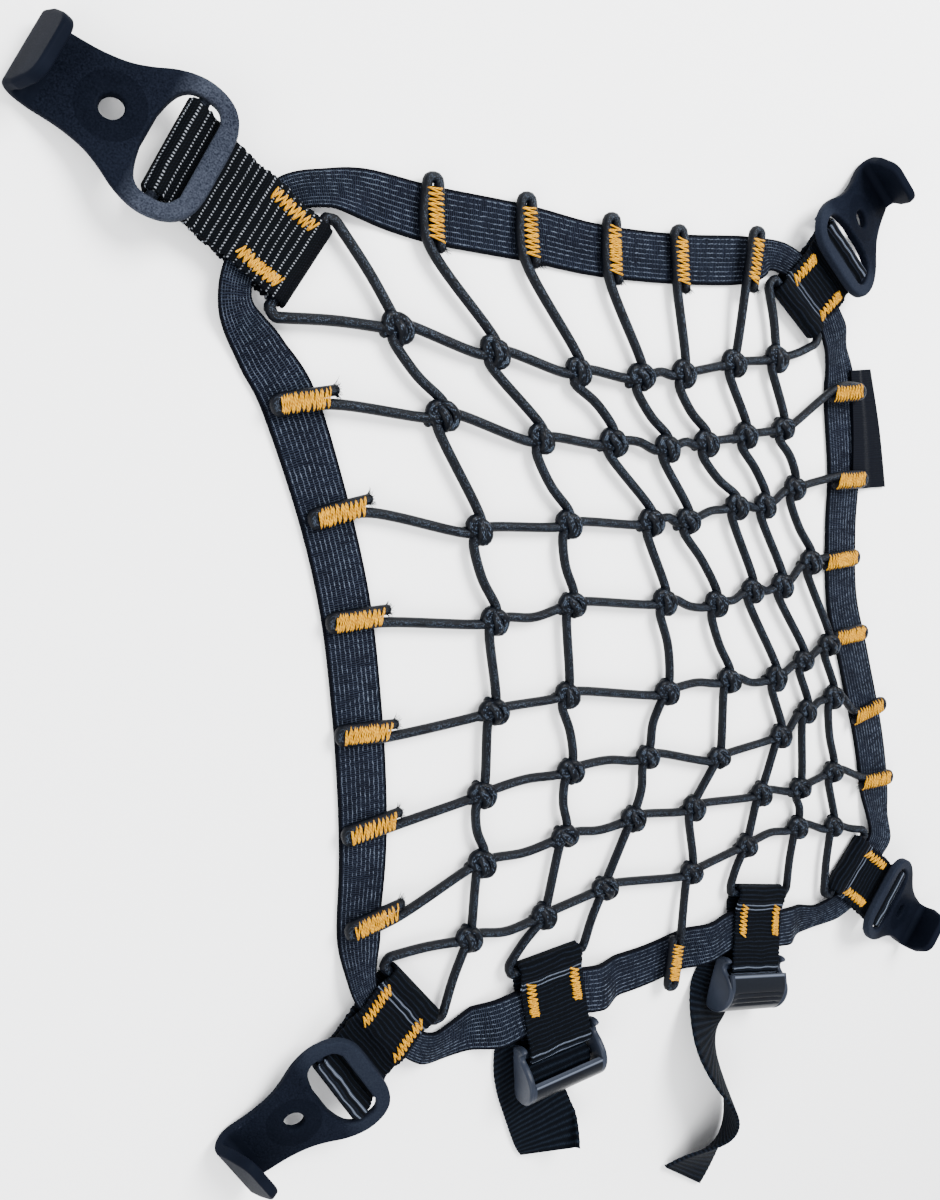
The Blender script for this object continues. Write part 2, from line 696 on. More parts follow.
def foldSide(tab, stop, offset, side):
    # from inside the fold of a tab, round its edge and into a knot
    x, y = knotCentre(*stop)
    turnSize = web["foldTurn"]
    s, v = tabLocal(tab, x + offset[0], y + offset[1])
    edge = side * (web["tabWidth"] / 2 + web["foldPast"])
    ds = s + turnSize
    dv = side * (v - edge)
    turn = math.atan2(dv, ds) % (2 * math.pi) - math.acos(turnSize / math.hypot(ds, dv))
    steps = max(foldCord["fewest"], round(math.degrees(turn) / web["foldStep"]))
    route = []
    for k in range(steps + 1):
        angle = turn * k / steps
        along = -turnSize + turnSize * math.cos(angle)
        across = edge + side * turnSize * math.sin(angle)
        route.append((*tabPoint(tab, along, across), heldHeight))
    aim = (x + offset[0], y + offset[1], cordNet["height"] + foldCord["above"])
    route.append(bowed(route[-1], aim, foldCord["bow"]))
    route.append(aim)
    return route


def foldRoute(fold):
    tab = tabNamed(fold["tab"])
    sides = []
    for end in (fold["start"], fold["stop"]):
        x, y = knotCentre(*end[:2])
        sides.append(tabLocal(tab, x + end[2][0], y + end[2][1])[1])
    side = 1 if sides[0] > sides[1] else -1
    first = foldSide(tab, fold["start"][:2], fold["start"][2], side)
    second = foldSide(tab, fold["stop"][:2], fold["stop"][2], -side)
    first.reverse()
    return first + second


def cordRoutes():
    slack = random.Random(7)
    twistX, twistY = knot["twist"]
    reachX, reachY = knot["reach"]
    low = cordNet["height"]
    high = low + cordNet["levelAbove"]
    routes = []
    for column in uprights:
        stops = [((x + twistX, y + reachY, low), (x - twistX, y - reachY, low))
                 for x, y in (knotCentre(column, row) for row in levels)]
        routes.append(linkStops(column, stops, slack))
    for row in levels:
        stops = [((x - reachX, y - twistY, high), (x + reachX, y + twistY, high))
                 for x, y in (knotCentre(column, row) for column in uprights)]
        routes.append(linkStops(row, stops, slack))
    return routes + [foldRoute(fold) for fold in foldCords]


cords = Strands()
for route in cordRoutes():
    line = smoothLine([toWorld(*spot) for spot in route], cordNet["step"] * mm)
    cords.tube(softened(line, cordNet["passes"]), cordNet["radius"], cordNet["sides"])
addPiece("cordNet", cords.mesh("cordNet"), cordFinish, nodes=("net",), slotName="net")
print("cords:", len(cords.faces), "faces")

# A knot seen from above: a lobe on the left, a band slanting over, and a lobe on the right.
knotWraps = dict(
    leftLobe=dict(radius=1.6, spots=((-0.4, 2.4, 0.4), (-2.0, 2.9, 1.0), (-3.5, 2.0, 1.1),
                                     (-3.6, 0.4, 0.9), (-2.4, -0.8, 0.8), (-0.6, -1.2, 0.4))),
    band=dict(radius=1.55, spots=((-1.6, 3.2, -0.2), (-1.3, 2.2, 1.2), (-0.2, 0.8, 2.3),
                                  (1.0, -0.9, 2.4), (1.5, -2.4, 1.5), (1.3, -3.5, 0.0))),
    rightLobe=dict(radius=1.6, spots=((0.0, 2.6, 0.6), (1.6, 2.4, 1.3), (3.2, 1.0, 1.5),
                                      (3.9, -0.9, 1.4), (3.2, -2.7, 1.0), (1.4, -3.2, 0.3))),
    under=dict(radius=1.5, spots=((-3.6, -1.6, -0.9), (-1.0, -0.6, -1.9), (1.2, 0.6, -1.9),
                                  (3.8, 1.2, -0.9))),
    core=dict(radius=2.2, spots=((-2.2, 1.3, 0.0), (0.0, 0.0, 0.1), (2.2, -1.3, 0.0))),
)
knotBuild = dict(sides=10, step=0.8, jitter=0.25, sizeSpread=0.07, flatten=0.85, weaveStart=9)
knots = Strands()
sway = random.Random(12)
wobble = random.Random(5)
for column in uprights:
    for row in levels:
        x, y = knotCentre(column, row)
        turn = Matrix.Rotation(math.radians(sway.uniform(-knot["sway"], knot["sway"])), 3, "Z")
        sway.uniform(0, 2.0)       # not used: it keeps the next knots' draws in their order
        size = 1.0 + wobble.uniform(-1, 1) * knotBuild["sizeSpread"]
        for wrap in knotWraps.values():
            spots = []
            for spot in wrap["spots"]:
                moved = Vector([c + wobble.uniform(-1, 1) * knotBuild["jitter"] for c in spot])
                moved = turn @ moved * size
                lift = moved.z * knotBuild["flatten"]
                spots.append(toWorld(x + moved.x, y + moved.y, cordNet["height"] + lift))
            line = smoothLine(spots, knotBuild["step"] * mm)
            knots.tube(line, wrap["radius"], knotBuild["sides"],
                       start=wobble.uniform(0, knotBuild["weaveStart"]))
addPiece("cordKnots", knots.mesh("cordKnots"), knotFinish, slotName="net")
print("knots:", len(knots.faces), "faces")

# ---- webbing ----

selvage = dict(bulge=0.8, angles=(50, 0, -50))


def webbingRing(half, thickness, ribs, relief=0.0):
    # closed section of a webbing: (across, height), the top first, with rounded selvages
    count = ribs * 4
    edge = thickness / 2
    bulge = edge * selvage["bulge"]
    flat = half - bulge
    top = []
    for k in range(count + 1):
        across = -flat + 2 * flat * k / count
        top.append((across, edge - relief * ripple(math.pi * 2 * ribs * (k / count))))
    side = [(flat + bulge * out, edge * up) for out, up in map(polar, selvage["angles"])]
    low = [(-across, -height) for across, height in top]
    other = [(-across, -height) for across, height in side]
    return top + side + low + other


def sweepWebbing(name, spots, ring, lengths, closed, sharp=None):
    # spots(row, across, height) gives the place of each point of the ring in each row
    rows = len(lengths) - (1 if closed else 0)
    points = []
    for j in range(rows):
        points += [spots(j, across, height) for across, height in ring(j)]
    size = len(ring(0))
    faces = []
    places = []
    for j in range(rows if closed else rows - 1):
        here = ring(j)
        for i in range(size):
            a = j * size
            b = ((j + 1) % rows) * size
            after = (i + 1) % size
            faces.append((a + i, a + after, b + after, b + i))
            left, right = here[i][0], here[after][0]
            places.append(((lengths[j], left), (lengths[j], right),
                           (lengths[j + 1], right), (lengths[j + 1], left)))
    if not closed:
        for j, order in ((0, -1), (rows - 1, 1)):
            faces.append(tuple([j * size + i for i in range(size)][::order]))
            places.append(tuple((lengths[j], ring(j)[i][0]) for i in range(size)))
    mesh = meshFrom(name, points, faces, places, sharp)
    bm = bmesh.new()
    bm.from_mesh(mesh)
    bmesh.ops.recalc_face_normals(bm, faces=bm.faces)
    bm.to_mesh(mesh)
    bm.free()
    return mesh


# Border: middle line and width of each free stretch, from tab to tab.
borderRows = (
    dict(after="tab_top_left", rows=((-78.0, 77.2, 9.8), (-70.0, 66.2, 14.0), (-61.5, 54.5, 16.5),
                                     (-49.8, 25.0, 16.0), (-41.8, -2.0, 16.0), (-36.7, -30.0, 16.0),
                                     (-33.2, -57.0, 16.0), (-31.6, -80.0, 15.5),
                                     (-31.8, -102.0, 14.0), (-31.0, -115.0, 10.5))),
    dict(after="tab_bottom_left", rows=((-4.0, -145.6, 10.4), (8.0, -143.8, 15.0),
                                        (20.0, -141.6, 16.0))),
    dict(after="tab_buckle_left", rows=((62.0, -137.2, 16.0), (83.0, -135.8, 16.0),
                                        (101.0, -132.4, 15.6), (112.0, -129.6, 13.8))),
    dict(after="tab_buckle_right", rows=((158.5, -130.6, 13.8), (173.5, -130.2, 10.2))),
    dict(after="tab_bottom_right", rows=((204.8, -97.6, 11.2), (203.0, -85.0, 16.0),
                                         (194.5, -58.0, 16.5), (179.5, -24.0, 16.5),
                                         (168.5, 0.0, 16.5), (163.2, 27.0, 16.5),
                                         (161.0, 50.0, 17.0), (155.0, 75.0, 17.0),
                                         (150.5, 90.0, 13.5))),
    dict(after="tab_top_right", rows=((109.0, 121.4, 10.4), (99.0, 118.4, 16.0),
                                      (69.0, 113.8, 16.0), (37.0, 111.2, 16.0),
                                      (10.0, 111.6, 16.5), (-22.0, 111.0, 16.0),
                                      (-43.0, 112.3, 14.2), (-55.0, 111.4, 10.0))),
)
borderBuild = dict(step=1.6, ribs=11, relief=0.16)

marks = []
for stretch in borderRows:
    tab = tabNamed(stretch["after"])
    for v in (-tabShape["holds"], 0.0, tabShape["holds"]):
        marks.append((*tabPoint(tab, tab["borderAt"], v), tab["borderWidth"]))
    marks += stretch["rows"]
borderLine = smoothLine(marks, borderBuild["step"], closed=True)
borderLengths = running([Vector((p.x, p.y)) for p in borderLine])


def borderSide(j):
    rows = len(borderLine) - 1
    ahead = borderLine[(j + 1) % rows]
    behind = borderLine[(j - 1) % rows]
    heading = math.atan2(ahead.y - behind.y, ahead.x - behind.x)
    return -math.sin(heading), math.cos(heading)


def borderSpot(j, across, height):
    here = borderLine[j]
    sx, sy = borderSide(j)
    off = across * here.z / web["borderWidth"]
    x, y = here.x + sx * off, here.y + sy * off
    return toWorld(x, y, web["thickness"] / 2 + web["clear"] + groundLift(x, y) + height)


borderRing = webbingRing(web["borderWidth"] / 2, web["thickness"], borderBuild["ribs"],
                         borderBuild["relief"])
borderMesh = sweepWebbing("borderWebbing", borderSpot, lambda j: borderRing, borderLengths, True)
border = addPiece("borderWebbing", borderMesh, borderFinish, nodes=("border",), slotName="border")
print("border:", round(borderLengths[-1]), "mm round,", len(borderMesh.polygons), "faces")


def touching(s, z, radius):
    return math.atan2(z, s), math.acos(radius / math.hypot(s, z))


def tabProfile(tab):
    # side view of the folded webbing's middle, a closed loop of (s, z)
    length = tab["length"]
    inner = tab["borderAt"] - tab["borderWidth"] / 2 - tabShape["borderRoom"]
    outer = tab["borderAt"] + tab["borderWidth"] / 2 + tabShape["borderRoom"]
    low = web["thickness"] / 2
    layer = web["layer"]
    radius = web["loopRadius"]
    path = [(0.0, low), (tabShape["rampStart"], low), (length - tabShape["rampStop"], low),
            (length, low)]
    back = (length - tabShape["barRoom"], low + layer)
    if outer + tabShape["closeOver"] > length - tabShape["rampStop"]:
        back = (outer, low + 2 * layer)
    toward, spread = touching(back[0] - length, back[1] - loopHeight, radius)
    last = math.degrees(toward - spread) % 360.0
    steps = tabShape["loopSteps"]
    for k in range(1, steps + 1):
        out, up = polar(-90.0 + (last + 90.0) * k / steps)
        path.append((length + radius * out, loopHeight + radius * up))
    path.append(back)
    if back[0] > outer:
        path.append((length - tabShape["rampStop"], low + layer))
        path.append((outer + tabShape["closeOver"], low + layer))
        path.append((outer, low + 2 * layer))
    path.append((inner, low + 2 * layer))
    toward, spread = touching(inner, low + 2 * layer - loopHeight, radius)
    first = math.degrees(toward + spread)
    for k in range(steps):
        out, up = polar(first + (270.0 - first) * k / steps)
        path.append((radius * out, loopHeight + radius * up))
    path.append(path[0])
    return [Vector((s, z + tabLift(tab, s), 0.0)) for s, z in path]


def tabRow(tab, line, j, across, height):
    rows = len(line) - 1
    ahead = line[(j + 1) % rows] - line[(j - 1) % rows]
    ahead.normalize()
    here = line[j % rows]
    s = here.x + ahead.y * height
    z = here.y - ahead.x * height
    return toWorld(*tabPoint(tab, s, across), z)


tabBuild = dict(rowPitch=2.2, relief=0.12, passes=5, fray=0.35, ribs=3)
tabTops = {}
for tab in tabs:
    line = evenly(tabProfile(tab), tabShape["step"])
    line = softened(line[:-1], tabBuild["passes"], closed=True)
    line.append(line[0].copy())
    lengths = running(line)
    tabTops[tab["name"]] = line
    ragged = random.Random(tab["name"])
    half = web["tabWidth"] / 2
    sides = [1 + ragged.uniform(-1, 1) * tabBuild["fray"] / half for _ in lengths]
    plain = webbingRing(half, web["thickness"], tabBuild["ribs"])

    def tabRing(j):
        j = j % (len(lengths) - 1)
        dip = 1.0 - tabBuild["relief"] * ripple(2 * math.pi * lengths[j] / tabBuild["rowPitch"])
        return [(across * sides[j], height * dip) for across, height in plain]

    mesh = sweepWebbing(tab["name"], lambda j, a, h: tabRow(tab, line, j, a, -h), tabRing,
                        [length - lengths[-1] for length in lengths], True)
    words = placeWords(tab["name"])
    outermost = max(range(len(line)), key=lambda j: line[j].x)
    turnAt = lengths[outermost] - lengths[-1]
    rims = rimPlaces["fold"] + tuple(turnAt + past for past in rimPlaces["bar"])
    cloth = tabFinish
    if tab["name"] != "tab_top_left":
        cloth = rowedWebbing("darkTabWebbing" + words, dict(darkTabLook, rims=rims))
    piece = addPiece("webbingTab" + words, mesh, cloth, nodes=(tab["name"],), slotName=tab["name"])
    print(piece.name, round(lengths[-1]), "mm of webbing,", len(mesh.polygons), "faces")

# Straps from the bar of their buckle: along the tab, across it and up, then the turn of the
# section about the vertical and its tilt.
threaded = (
    (12.6, 0.0, 6.3, 0, 0), (11.3, 0.0, 8.3, 0, 0), (9.0, 0.0, 9.2, 0, 0), (6.8, 0.0, 8.3, 0, 0),
    (5.6, 0.0, 6.2, 0, 0), (4.6, 0.0, 4.1, 0, 0), (2.6, -0.5, 2.85, 1, 0), (0.0, -1.6, 2.55, 3, 0),
    (-4.2, -4.6, 2.55, 6, 0), (-5.3, -5.8, 2.25, 7, 0), (-5.8, -6.6, 1.65, 8, 0),
    (-5.3, -7.4, 1.05, 8, 0), (-4.2, -8.4, 0.75, 8, 0),
)
straps = (
    dict(name="strap_left", tab="tab_buckle_left", corner=6.5, free=(
        (4.0, -9.6, 0.75, 11, 0), (13.0, -8.8, 0.75, 12, 0), (23.0, -6.4, 0.75, 11, 0),
        (32.0, -4.2, 2.1, 9, -6), (38.0, -2.7, 3.9, 8, -15), (42.6, -1.6, 5.8, 2, -25))),
    dict(name="strap_right", tab="tab_buckle_right", corner=0.0, free=(
        (4.0, -8.4, 0.75, -6, 0), (12.6, -10.2, 0.75, -16, 0), (20.6, -12.8, 3.4, -12, 12),
        (28.6, -13.8, 7.3, 8, 31), (36.6, -10.6, 10.2, 28, 49), (44.6, -5.0, 11.7, 36, 61),
        (52.6, 0.4, 11.7, 28, 61), (61.6, 3.4, 10.3, 8, 50), (71.6, 2.8, 7.3, -10, 31),
        (80.6, -0.4, 4.0, -22, 15), (88.1, -4.2, 1.2, -25, 2))),
)
strapBuild = dict(step=0.55, rowPitch=2.0, relief=0.14, waist=0.012, ribs=4, sharp=50,
                  foldAlong=15.0, foldRadius=1.3, foldTurn=95.0)


class Section:
    # one row of a strap, as a sum so that rows can be blended
    def __init__(self, values):
        self.values = list(values)

    def __add__(self, other):
        return Section(a + b for a, b in zip(self.values, other.values))

    def __sub__(self, other):
        return Section(a - b for a, b in zip(self.values, other.values))

    def __mul__(self, factor):
        return Section(a * factor for a in self.values)

    __rmul__ = __mul__


for strap in straps:
    tab = tabNamed(strap["tab"])
    barX, barY = tabPoint(tab, tab["length"], 0.0)
    ax, ay = polar(tab["angle"])
    keys = [Section(row) for row in threaded + strap["free"]]
    padded = [2 * keys[0] - keys[1]] + keys + [2 * keys[-1] - keys[-2]]
    sections = []
    for i in range(1, len(padded) - 2):
        a, b = padded[i].values, padded[i + 1].values
        parts = max(1, round(math.dist(a[:3], b[:3]) / strapBuild["step"]))
        for k in range(parts):
            sections.append(curvePoint(*padded[i - 1:i + 3], k / parts).values)
    sections.append(keys[-1].values)
    middles = [Vector((barX + ax * u - ay * v, barY + ay * u + ax * v, z))
               for u, v, z, _, _ in sections]
    lengths = running(middles)

    def strapSpot(j, across, height):
        _, _, _, turn, tilt = sections[j]
        out, over = polar(turn)
        level, rise = polar(tilt)
        du, dv = -over * level, out * level
        side = Vector((ax * du - ay * dv, ay * du + ax * dv, -rise))
        ahead = (middles[min(j + 1, len(middles) - 1)] - middles[max(j - 1, 0)]).normalized()
        face = side.cross(ahead).normalized()
        spot = middles[j] + side * across
        if strap["corner"]:
            # the corner past a slanting line stands up and folds back over the strap
            start, long = strap["corner"], strapBuild["foldAlong"]
            wide = web["tabWidth"] / 2 - start
            size = math.hypot(wide, long)
            past = ((lengths[j] - lengths[-1]) * wide + (across - start) * long) / size
            if past > 0.0:
                radius = strapBuild["foldRadius"]
                angle = min(math.radians(strapBuild["foldTurn"]), past / radius)
                rest = past - angle * radius
                way = (ahead * wide + side * long) / size
                flat = radius * math.sin(angle) + rest * math.cos(angle) - past
                raised = radius * (1.0 - math.cos(angle)) + rest * math.sin(angle)
                spot = spot + way * flat - face * raised
                face = face * math.cos(angle) + way * math.sin(angle)
        return toWorld(*(spot + face * height))

    plain = webbingRing(web["tabWidth"] / 2, web["thickness"], strapBuild["ribs"])

    def strapRing(j):
        wave = ripple(2 * math.pi * lengths[j] / strapBuild["rowPitch"])
        dip = 1.0 - strapBuild["relief"] * wave
        return [(across * (1.0 - strapBuild["waist"] * wave), height * dip)
                for across, height in plain]

    mesh = sweepWebbing(strap["name"], strapSpot, strapRing, lengths, False, strapBuild["sharp"])
    piece = addPiece("buckle" + placeWords(strap["name"]) + "Strap", mesh, strapFinish,
                     nodes=(strap["name"],), slotName=strap["name"])
    print(piece.name, round(lengths[-1]), "mm long,", len(mesh.polygons), "faces")

# Side label: its edges on and off the border at three heights, and how it lies across.
label = dict(plate=1.0, columns=28, step=1.3, sharp=50, weaveWidth=20.0)
labelEdges = (
    dict(inner=(156.5, 87.5), outer=(169.5, 89.5)),
    dict(inner=(161.5, 66.0), outer=(178.5, 68.0)),
    dict(inner=(165.0, 43.5), outer=(186.0, 45.5)),
)
labelAcross = ((0.0, 2.45), (0.3, 2.45), (0.62, 0.7), (1.0, 0.5))
labelSides = [smoothLine([Vector((*edge[side], 0)) for edge in labelEdges], label["step"])
              for side in ("inner", "outer")]
labelRows = min(len(side) for side in labelSides)


def labelHeight(part):
    for (a, low), (b, high) in zip(labelAcross, labelAcross[1:]):
        if part <= b:
            return low + (high - low) * smoothStep((part - a) / (b - a))
    return labelAcross[-1][1]


def labelSpot(j, across, height):
    part = across + 0.5
    a, b = (side[round(j * (len(side) - 1) / (labelRows - 1))] for side in labelSides)
    x, y = a.x + (b.x - a.x) * part, a.y + (b.y - a.y) * part
    return toWorld(x, y, labelHeight(part) + height)


labelTop = [(-0.5 + k / label["columns"], label["plate"] / 2) for k in range(label["columns"] + 1)]
labelRing = labelTop + [(-across, -height) for across, height in labelTop]
labelLengths = [label["step"] * j for j in range(labelRows)]
labelMesh = sweepWebbing("sideLabel", labelSpot, lambda j: labelRing, labelLengths, False,
                         label["sharp"])
for spot in labelMesh.uv_layers["weave"].data:
    spot.uv.y *= label["weaveWidth"]
sideLabel = addPiece("sideLabel", labelMesh, labelFinish, nodes=("side_label",),
                     slotName="side_label")
print("straps and label ready")

# ---- hooks ----

hook = dict(plate=3.0, plateMid=1.8, barRadius=1.5, barHalf=16.4, holeAt=16.5, holeRadius=3.0,
            holeSides=32, lipStart=33.0, lipBend=128.0, lipRadius=3.2, lipLength=12.5,
            lipHalf=10.0, lipAbove=3.6, neck=1.0, shoulder=4.0, tipHalf=8.8, tipRound=4.6,
            tipClear=0.06, edge=0.9, sideStep=1.2, bendCuts=14, lipCuts=(3.0, 6.0),
            flatCuts=(27.0, 29.0, 31.0))
hookSide = ((-11.2, 0.0), (-11.2, 6.0), (-10.6, 11.0), (-8.6, 14.8), (-5.2, 17.2), (-0.5, 18.3),
            (4.0, 17.9), (8.5, 16.3), (13.0, 13.8), (18.0, 11.7), (24.5, 10.5), (32.0, 10.2))
slotSide = ((-6.1, 10.4), (-4.4, 13.0), (-1.5, 13.9), (2.5, 13.6), (4.9, 11.8), (6.3, 8.6),
            (7.2, 4.4))
lipStop = hook["lipStart"] + math.radians(hook["lipBend"]) * hook["lipRadius"]
# how the plastic parts are made: the lip's weave places start past the plate's
moulding = dict(bevelSteps=3, sharp=38, lipPlace=40.0, barSteps=8, barSides=20, weld=1e-6)


def mirrored(side):
    return side + [(u, -v) for u, v in reversed(side)]


def roundedSide(rows, step):
    line = [Vector((u, v, 0.0)) for u, v in rows]
    return [(p.x, p.y) for p in smoothLine(line, step)]


def hookOutline():
    side = roundedSide(hookSide, hook["sideStep"])[1:]
    reach = lipStop + hook["lipLength"]
    corner = hook["tipRound"]
    side.append((hook["lipStart"] + hook["neck"], hook["lipHalf"]))
    side.append((reach - corner - hook["shoulder"], hook["lipHalf"]))
    for angle in range(80, -1, -20):
        out, over = polar(angle)
        side.append((reach - corner + corner * out, hook["tipHalf"] - corner + corner * over))
    return mirrored(side)


def slotOutline():
    return mirrored(roundedSide(slotSide, hook["sideStep"]))


def holeOutline():
    turns = [polar(360.0 * k / hook["holeSides"]) for k in range(hook["holeSides"])]
    return [(hook["holeAt"] + hook["holeRadius"] * out, hook["holeRadius"] * over)
            for out, over in turns]


def platePlan(name, outlines, thickness, edge):
    # flat plate with bevelled edges
    curve = bpy.data.curves.new(name, "CURVE")
    curve.dimensions = "2D"
    curve.fill_mode = "BOTH"
    curve.extrude = (thickness / 2 - edge) * mm
    curve.bevel_depth = edge * mm
    curve.bevel_resolution = moulding["bevelSteps"]
    curve.offset = -edge * mm
    for outline in outlines:
        line = curve.splines.new("POLY")
        line.points.add(len(outline) - 1)
        line.use_cyclic_u = True
        for point, spot in zip(line.points, outline):
            point.co = (spot[0] * mm, spot[1] * mm, 0.0, 1.0)
    holder = newObject(name, curve)
    bpy.context.view_layer.update()
    graph = bpy.context.evaluated_depsgraph_get()
    mesh = bpy.data.meshes.new_from_object(holder.evaluated_get(graph))
    bpy.data.objects.remove(holder)
    return mesh


def bentHook(point):
    # the flat plate's far end, turned up and back round the bend
    past = point.x / mm - hook["lipStart"]
    if past <= 0.0:
        return point
    radius = hook["lipRadius"]
    full = math.radians(hook["lipBend"])
    angle = min(full, past / radius)
    beyond = past - angle * radius
    height = point.z / mm - hook["plateMid"]
    u = hook["lipStart"] + (radius - height) * math.sin(angle) + beyond * math.cos(angle)
    w = hook["plateMid"] + radius - (radius - height) * math.cos(angle) + beyond * math.sin(angle)
    return Vector((u * mm, point.y, w * mm))


def hookBody():
    outlines = (hookOutline(), slotOutline(), holeOutline())
    mesh = platePlan("hookPlate", outlines, hook["plate"], hook["edge"])
    bm = bmesh.new()
    bm.from_mesh(mesh)
    bmesh.ops.remove_doubles(bm, verts=bm.verts, dist=moulding["weld"])
    for vert in bm.verts:
        vert.co.z += hook["plateMid"] * mm
    start, count = hook["lipStart"], hook["bendCuts"]
    cuts = [start + (lipStop - start) * k / count for k in range(count + 1)]
    cuts += [lipStop + past for past in hook["lipCuts"]]
    cuts += hook["flatCuts"]
    for cut in cuts:
        bmesh.ops.bisect_plane(bm, geom=bm.verts[:] + bm.edges[:] + bm.faces[:],
                               dist=moulding["weld"], plane_co=(cut * mm, 0.0, 0.0),
                               plane_no=(1.0, 0.0, 0.0))
    for vert in bm.verts:
        vert.co = bentHook(vert.co)
    bmesh.ops.recalc_face_normals(bm, faces=bm.faces)
    bm.to_mesh(mesh)
    bm.free()
    return mesh


def hookPitch(height):
    ahead = hook["lipStart"]
    above = hook["plateMid"] + hook["lipRadius"]
    drop = height - (hook["lipRadius"] + hook["plate"] / 2) - hook["tipClear"]
    return math.asin(drop / math.hypot(ahead, above)) + math.atan2(above, ahead)


def joined(name, meshes):
    bm = bmesh.new()
    for mesh in meshes:
        bm.from_mesh(mesh)
    mesh = bpy.data.meshes.new(name)
    bm.to_mesh(mesh)
    bm.free()
    mesh.polygons.foreach_set("use_smooth", [True] * len(mesh.polygons))
    mesh.set_sharp_from_angle(angle=math.radians(moulding["sharp"]))
    return mesh


def evenNormals(piece):
    # flat faces stay flat to the eye, only their rounded edges shade softly
    weighted = piece.modifiers.new("evenNormals", "WEIGHTED_NORMAL")
    weighted.mode = "FACE_AREA"
    weighted.keep_sharp = True


def plasticPlaces(mesh, lipAbove=math.inf):
    # weave places in the piece's own millimetres; what lies above the plate counts as its lip
    weave = mesh.uv_layers.get("weave") or mesh.uv_layers.new(name="weave")
    for loop in mesh.loops:
        spot = mesh.vertices[loop.vertex_index].co / mm
        out = spot.x if spot.z < lipAbove else moulding["lipPlace"] + spot.z
        weave.data[loop.index].uv = (out, spot.y)


def barMesh(u, z, half, radius):
    first, last = (Vector((u * mm, end * half * mm, z * mm)) for end in (-1, 1))
    steps = moulding["barSteps"]
    bar = Strands()
    bar.tube([first.lerp(last, k / steps) for k in range(steps + 1)], radius,
             moulding["barSides"], roundEnds=False)
    return bar.mesh("bar")


for tab in tabs:
    if "buckle" in tab["name"]:
        continue
    place = tab["name"].replace("tab_", "")
    height = heldHeight + tab["lift"]
    mesh = joined("hook", (hookBody(), barMesh(0.0, 0.0, hook["barHalf"], hook["barRadius"])))
    plasticPlaces(mesh, hook["lipAbove"])
    mesh.transform(Matrix.Translation(toWorld(*tabPoint(tab, tab["length"], 0.0), height))
                   @ Matrix.Rotation(math.radians(tab["angle"] + tab["skew"]), 4, "Z")
                   @ Matrix.Rotation(hookPitch(height), 4, "Y"))
    nylon = wornHookFinish if place == "top_left" else hookFinish
    piece = addPiece("hook" + placeWords(tab["name"]), mesh, nylon, nodes=("hook_" + place,),
                     slotName="hook_" + place)
    evenNormals(piece)
print("hooks:", len(mesh.polygons), "faces each")

# ---- buckles ----

buckle = dict(halfInside=13.6, side=2.4, intoSide=0.6, edge=0.9, sideStep=0.9, barRadius=1.5,
              secondAt=9.0, secondHeight=6.4, coverPlate=1.8, coverStep=0.3, coverRibs=4)
buckleSide = ((-2.6, 4.4), (-3.9, 7.4), (-4.0, 10.0), (-2.8, 10.8), (-1.1, 9.0), (0.6, 9.3),
              (2.6, 12.0), (5.8, 14.5), (9.5, 15.0), (13.5, 13.5), (16.4, 10.4), (17.2, 6.0),
              (15.0, 3.9), (4.0, 3.9))
# the left buckle's cover starts further from its bar; the right one has grooves across it
covers = dict(
    left=dict(rim=7.9, grooveDepth=0.0,
              line=((7.6, 14.1), (10.0, 14.2), (12.8, 13.0), (15.4, 10.2), (16.1, 6.2))),
    right=dict(rim=1.5, grooveDepth=0.6,
               line=((1.2, 12.2), (6.0, 13.9), (11.6, 13.2), (15.4, 10.2), (16.1, 6.2))),
)
# grooves: where they start and stop as a share of the cover, and how far from its sides
grooves = dict(count=3, start=0.3, stop=0.6, power=4, inset=3.0)


def grooveDrop(part):
    t = (part - grooves["start"]) / (grooves["stop"] - grooves["start"])
    return abs(math.sin(math.pi * grooves["count"] * t)) ** grooves["power"] if 0 < t < 1 else 0.0


def coverMesh(cover):
    half = buckle["halfInside"] + buckle["side"] * buckle["intoSide"]
    line = smoothLine([Vector((u, z, 0.0)) for u, z in cover["line"]], buckle["coverStep"])
    lengths = running(line)
    ring = webbingRing(half, buckle["coverPlate"], buckle["coverRibs"])

    def spot(j, across, height):
        ahead = line[min(j + 1, len(line) - 1)] - line[max(j - 1, 0)]
        ahead.normalize()
        if height > 0 and abs(across) < half - grooves["inset"]:
            height -= grooveDrop(lengths[j] / lengths[-1]) * cover["grooveDepth"]
        return Vector(((line[j].x - ahead.y * height) * mm, across * mm,
                       (line[j].y + ahead.x * height) * mm))
    return sweepWebbing("cover", spot, lambda j: ring, lengths, False)


def cheekMesh(sign):
    outline = roundedSide(buckleSide + (buckleSide[0],), buckle["sideStep"])[:-1]
    plate = platePlan("side", (outline,), buckle["side"], buckle["edge"])
    away = sign * (buckle["halfInside"] + buckle["side"] / 2) * mm
    plate.transform(Matrix.Translation((0.0, away, 0.0))
                    @ Matrix.Rotation(math.radians(90), 4, "X"))
    return plate


